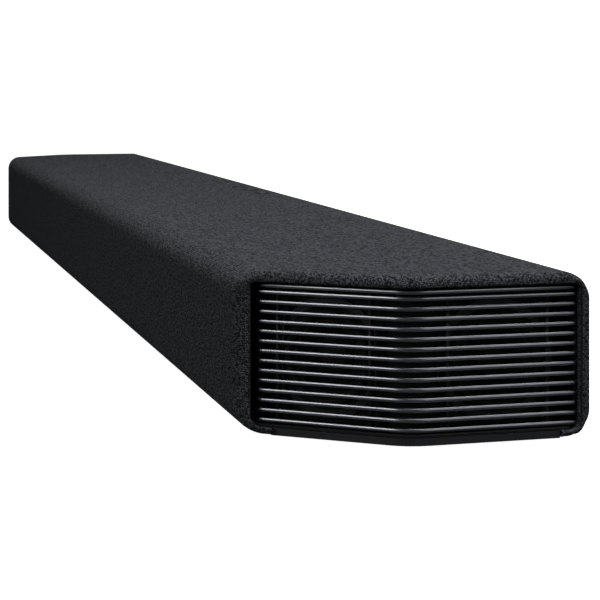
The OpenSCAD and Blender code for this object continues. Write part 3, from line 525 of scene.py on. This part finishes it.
def knitted_polyester():
    """Heathered polyester knit: two dark yarns crossing every 0.9 mm, dull, with a soft bloom where it turns
    away, and with darker and lighter lengths of yarn that lie along the bar. The colour is painted darker
    where the yarns dip, as painted shade between them."""
    material, tree, shader = blank("knitted_polyester", base=colour("#2A2B2E"), rough=0.92, specular=0.22,
                                   sheen=0.12, sheen_rough=0.5, sheen_tint=colour("#B8BCC4"))
    cloth = add(tree, "UVMap", {"uv_map": "cloth"}).outputs["UV"]
    wander = add(tree, "TexNoise", {"Scale": 260.0, "Detail": 1.0}, {"Vector": cloth})
    shift = add(tree, "VectorMath", {"operation": "SCALE", "Scale": 0.0004}, {0: wander.outputs["Color"]})
    moved = add(tree, "VectorMath", {"operation": "ADD"}, {0: cloth, 1: shift.outputs[0]})
    split = add(tree, "SeparateXYZ", {}, {0: moved.outputs[0]})
    pitch = 0.0009

    def math_node(operation, *values):
        """One sum, whose values are numbers or other nodes' outputs."""
        numbers = {i: v for i, v in enumerate(values) if isinstance(v, float)}
        linked = {i: v for i, v in enumerate(values) if not isinstance(v, float)}
        return add(tree, "Math", {"operation": operation, **numbers}, linked).outputs[0]

    u = math_node("MULTIPLY", split.outputs["X"], 1 / pitch)
    v = math_node("MULTIPLY", split.outputs["Y"], 1 / pitch)
    round_u = math_node("ABSOLUTE", math_node("SINE", math_node("MULTIPLY", u, math.pi)))
    round_v = math_node("ABSOLUTE", math_node("SINE", math_node("MULTIPLY", v, math.pi)))
    step = math_node("ADD", math_node("FLOOR", u), math_node("FLOOR", v))
    odd = math_node("ABSOLUTE", math_node("MODULO", step, 2.0))
    warp = math_node("MULTIPLY", round_u, math_node("MULTIPLY_ADD", odd, 0.65, 0.35))
    weft = math_node("MULTIPLY", round_v, math_node("MULTIPLY_ADD", odd, -0.65, 1.0))
    height = math_node("MAXIMUM", warp, weft)
    solid = add(tree, "TexCoord").outputs["Object"]
    speck = add(tree, "TexNoise", {"Scale": 1300.0, "Detail": 2.0}, {"Vector": solid})
    lying = add(tree, "Mapping", {"Scale": (260.0, 1000.0, 1000.0)}, {"Vector": solid})
    slub = add(tree, "TexNoise", {"Scale": 1.0, "Detail": 3.0, "Roughness": 0.7},
               {"Vector": lying.outputs[0]})
    flecks = math_node("MULTIPLY", speck.outputs["Fac"], 0.4)
    mottle = math_node("MULTIPLY_ADD", slub.outputs["Fac"], 0.6, flecks)
    heather = add(tree, "ValToRGB", {}, {"Fac": mottle})
    for stop, (at, tone) in zip(heather.color_ramp.elements, ((0.45, "#1D1E21"), (0.55, "#6E7077"))):
        stop.position = at
        stop.color = colour(tone)
    # painted shade: the heathered colour is multiplied darker where the weave's height is low, between the
    # yarns
    painted_groove_shade = add(tree, "Mix", {"data_type": "RGBA", "blend_type": "MULTIPLY", 0: 0.75},
                 {6: heather.outputs["Color"]})
    painted_shade_amount = add(tree, "MapRange", {"From Min": 0.25, "From Max": 0.95, "To Min": 0.35, "To Max": 1.0},
                {0: height})
    tree.links.new(painted_shade_amount.outputs[0], painted_groove_shade.inputs[7])
    tree.links.new(painted_groove_shade.outputs[2], shader.inputs["Base Color"])
    fuzz = math_node("MULTIPLY_ADD", speck.outputs["Fac"], 0.15, height)
    bump = add(tree, "Bump", {"Strength": 1.0, "Distance": 0.0005}, {"Height": fuzz})
    tree.links.new(bump.outputs[0], shader.inputs["Normal"])
    return material


def moulded(name, base, rough, grain=0.35, depth=0.03, spread=0.06):
    """Injection-moulded plastic with a fine spark-eroded grain: a matt surface whose tiny pits are
    grain millimetres across and depth millimetres deep, and whose dullness wavers a little."""
    material, tree, shader = blank(name, base=colour(base), rough=rough, specular=0.4)
    solid = add(tree, "TexCoord").outputs["Object"]
    pits = add(tree, "TexNoise", {"Scale": 1 / (grain * MM * 2), "Detail": 2.0}, {"Vector": solid})
    bump = add(tree, "Bump", {"Strength": 0.6, "Distance": depth * MM}, {"Height": pits.outputs["Fac"]})
    tree.links.new(bump.outputs[0], shader.inputs["Normal"])
    waver = add(tree, "TexNoise", {"Scale": 60.0, "Detail": 2.0}, {"Vector": solid})
    dull = add(tree, "MapRange", {"To Min": rough - spread, "To Max": rough + spread},
               {0: waver.outputs["Fac"]})
    tree.links.new(dull.outputs[0], shader.inputs["Roughness"])
    return material


def drawn_metal(name, base, rough, metal=1.0):
    """Drawn or turned metal: a clean satin gloss that faint level streaks break up."""
    material, tree, shader = blank(name, base=colour(base), rough=rough, metal=metal)
    solid = add(tree, "TexCoord").outputs["Object"]
    stretch = add(tree, "Mapping", {"Scale": (300.0, 300.0, 2600.0)}, {"Vector": solid})
    streak = add(tree, "TexNoise", {"Scale": 1.0, "Detail": 2.0}, {"Vector": stretch.outputs[0]})
    dull = add(tree, "MapRange", {"To Min": rough - 0.05, "To Max": rough + 0.07},
               {0: streak.outputs["Fac"]})
    tree.links.new(dull.outputs[0], shader.inputs["Roughness"])
    return material


FINISHES = {
    "knit": knitted_polyester(),
    # black ABS with a fine moulded grain, nearly matt
    "abs": moulded("black_grained_abs", "#1B1C1E", 0.5, grain=0.5),
    # the cover below, in a slightly greyer plastic with the same grain
    "cover": moulded("grey_black_grained_abs", "#2F3033", 0.5, grain=0.5),
    # plain and darker, for what sits behind the bars
    "inner": moulded("plain_black_abs", "#0E0E0F", 0.7, grain=0.6, depth=0.02),
    # dark grey lacquered metal, satin, so it shows as thin bright lines under a soft light
    "bars": drawn_metal("satin_graphite_metal", "#A6A9AE", 0.3),
    # the ribs behind them, painted a dull black
    "rib": moulded("black_painted_steel", "#161617", 0.6, grain=0.5, depth=0.01),
    # dull black rubber, for the feet and the drivers' surrounds
    "rubber": moulded("moulded_rubber", "#141415", 0.78, grain=0.7, depth=0.04),
    # matt caps that stand out only faintly from the knit
    "button": moulded("soft_touch_plastic", "#26282B", 0.62, grain=0.3, depth=0.015),
    # pale grey ink, for the symbols
    "mark": moulded("pad_printed_grey", "#7D8187", 0.6, grain=0.3, depth=0.01),
    # dark, slightly glossy screw heads
    "screw": drawn_metal("blackened_steel", "#2B2C2E", 0.38, metal=0.9),
    # warm yellow threaded inserts
    "brass": drawn_metal("turned_brass", "#B08D57", 0.3),
    # bright grey socket shells and shields
    "tin": drawn_metal("tinned_steel", "#B9BABD", 0.32),
    # plain grey heat sink
    "aluminium": drawn_metal("extruded_aluminium", "#A9ABAE", 0.36),
    # a pale dot on the roof
    "lens": moulded("frosted_polycarbonate", "#C9CBCE", 0.35, grain=0.3, depth=0.01),
    # green lacquer
    "board": moulded("green_circuit_board", "#1D5A3A", 0.42, grain=0.8, depth=0.02),
    # near black and smooth
    "display": moulded("smoked_acrylic", "#0B0B0C", 0.12, grain=0.8, depth=0.002, spread=0.02),
    # drivers' frames
    "basket": moulded("black_coated_steel", "#1A1B1C", 0.45, grain=0.6),
    # drivers' cones, black and dull
    "paper": moulded("coated_paper", "#1C1C1D", 0.7, grain=0.4, depth=0.05),
    # socket bodies
    "socket": moulded("black_nylon", "#151516", 0.5, grain=0.4),
}
NODE_FINISH = {
    "grille_shell": "abs", "end_frame_left": "inner", "end_frame_right": "inner", "bottom_cover": "cover",
    "rubber_feet": "rubber", "case_screws": "screw", "bracket_inserts": "brass", "front_baffle": "inner",
    "top_deck": "inner", "chamber_walls": "inner", "end_baffle_left": "inner", "end_baffle_right": "inner",
    "status_lens": "lens", "control_board": "board", "display_module": "display", "main_board": "board",
    "wireless_module": "tin", "amplifier_board": "board", "heat_sink": "aluminium", "power_board": "board",
    "power_inlet": "socket", "hdmi_sockets": "tin", "optical_socket": "socket", "optical_door": "socket",
    "pairing_button": "button",
}


def finish_of(node):
    """Name of the finish a CAD node gets."""
    if node in NODE_FINISH:
        return NODE_FINISH[node]
    words = {"surround": "rubber", "cone": "paper", "frame": "basket", "tweeter": "basket"}
    for word, finish in words.items():
        if word in node:
            return finish
    return "abs"


def dress(piece, body, finish, *nodes):
    """Gives a new piece its finish and its body, and hides the CAD nodes it stands for."""
    piece.data.materials.clear()
    piece.data.materials.append(FINISHES[finish])
    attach(piece, body)
    if nodes:
        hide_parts(*nodes)


# ---- putting it together ----

for name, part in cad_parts.items():
    part.data.materials.clear()
    part.data.materials.append(FINISHES[finish_of(name)])

dress(make_sleeve(), "root", "knit", "fabric_cover")
for side, word in ((-1, "left"), (1, "right")):
    dress(make_bars(side, word + "_bars"), "root", "bars", "end_bars_" + word)
    dress(make_ribs(side, word + "_bar_ribs"), "root", "rib")
for node in TOP_BUTTONS:
    cap, mark = make_button(node)
    dress(cap, node, "button", node)
    dress(mark, node, "mark")


# ---- floor, light and camera ----

def floor():
    """A wide, pale floor that runs up into a pale wall all round, lit evenly by its own glow. It throws
    no light back on the bar. Its section is flat to 6 m and then rises on a quarter of an arc."""
    flat, bend, wall = 6000, 4000, 9000
    turn = np.linspace(0, math.pi / 2, 9)
    radii = np.concatenate([[0, flat / 2, flat], flat + bend * np.sin(turn)[1:], [flat + bend]])
    rises = np.concatenate([[0, 0, 0], bend * (1 - np.cos(turn))[1:], [wall]])
    ground = new_piece("floor", *turned(np.stack([radii, rises], -1), [0, 0, 0], 64))
    material, tree, shader = blank("pale_paper", base=colour("#E8E8E8"), rough=0.95, specular=0.0)
    shader.inputs["Emission Color"].default_value = (1, 1, 1, 1)
    shader.inputs["Emission Strength"].default_value = 1.0
    ground.data.materials.append(material)
    ground.visible_diffuse = ground.visible_glossy = ground.visible_shadow = False


def softbox(name, size, watts, where, towards, along=(1, 0, 0)):
    """A rectangular soft light at a place in metres, facing another, with its first side lying along
    a direction."""
    light = bpy.data.lights.new(name, "AREA")
    light.shape, light.energy = "RECTANGLE", watts
    light.size, light.size_y = size
    lamp = bpy.data.objects.new(name, light)
    bpy.context.collection.objects.link(lamp)
    back = (Vector(where) - Vector(towards)).normalized()
    side = (Vector(along) - back * back.dot(Vector(along))).normalized()
    turn = Matrix((side, back.cross(side), back)).transposed().to_4x4()
    lamp.matrix_world = Matrix.Translation(where) @ turn


floor()
# a wide box over the roof, and two small low ones that each draw a bright line along the end bars
softbox("overhead", (1.8, 1.2), 27, (0.75, 0.3, 1.7), (0.35, 0.0, 0.0))
FACET_MIDDLE, SIDE_MIDDLE = (0.588, -0.04, 0.035), (0.616, 0.03, 0.035)
softbox("facet_light", (0.7, 0.7), 5.2, (1.19, -1.85, 0.64), FACET_MIDDLE, (0.669, 0.743, 0))
softbox("side_light", (0.6, 0.7), 1.5, (2.45, 0.67, 0.52), SIDE_MIDDLE, (0, 1, 0))
world = bpy.data.worlds.new("studio")
world.use_nodes = True
background = world.node_tree.nodes["Background"]
background.inputs["Color"].default_value = (1, 1, 1, 1)
background.inputs["Strength"].default_value = 0.05
bpy.context.scene.world = world
bpy.context.scene.view_settings.view_transform = "Standard"

# a level camera at the right end, shifted instead of tilted so that upright lines stay upright
CAMERA_YAW = math.radians(72.266)
camera = bpy.data.cameras.new("camera")
camera.sensor_width = 36
camera.lens = 116.742
camera.shift_x = -0.265833333
camera.shift_y = -0.379166667
camera.clip_end = 100
eye = bpy.data.objects.new("camera", camera)
bpy.context.collection.objects.link(eye)
eye.location = (1.3623, -0.2262, 0.1514)
eye.rotation_euler = (math.pi / 2, 0, CAMERA_YAW)
bpy.context.scene.camera = eye
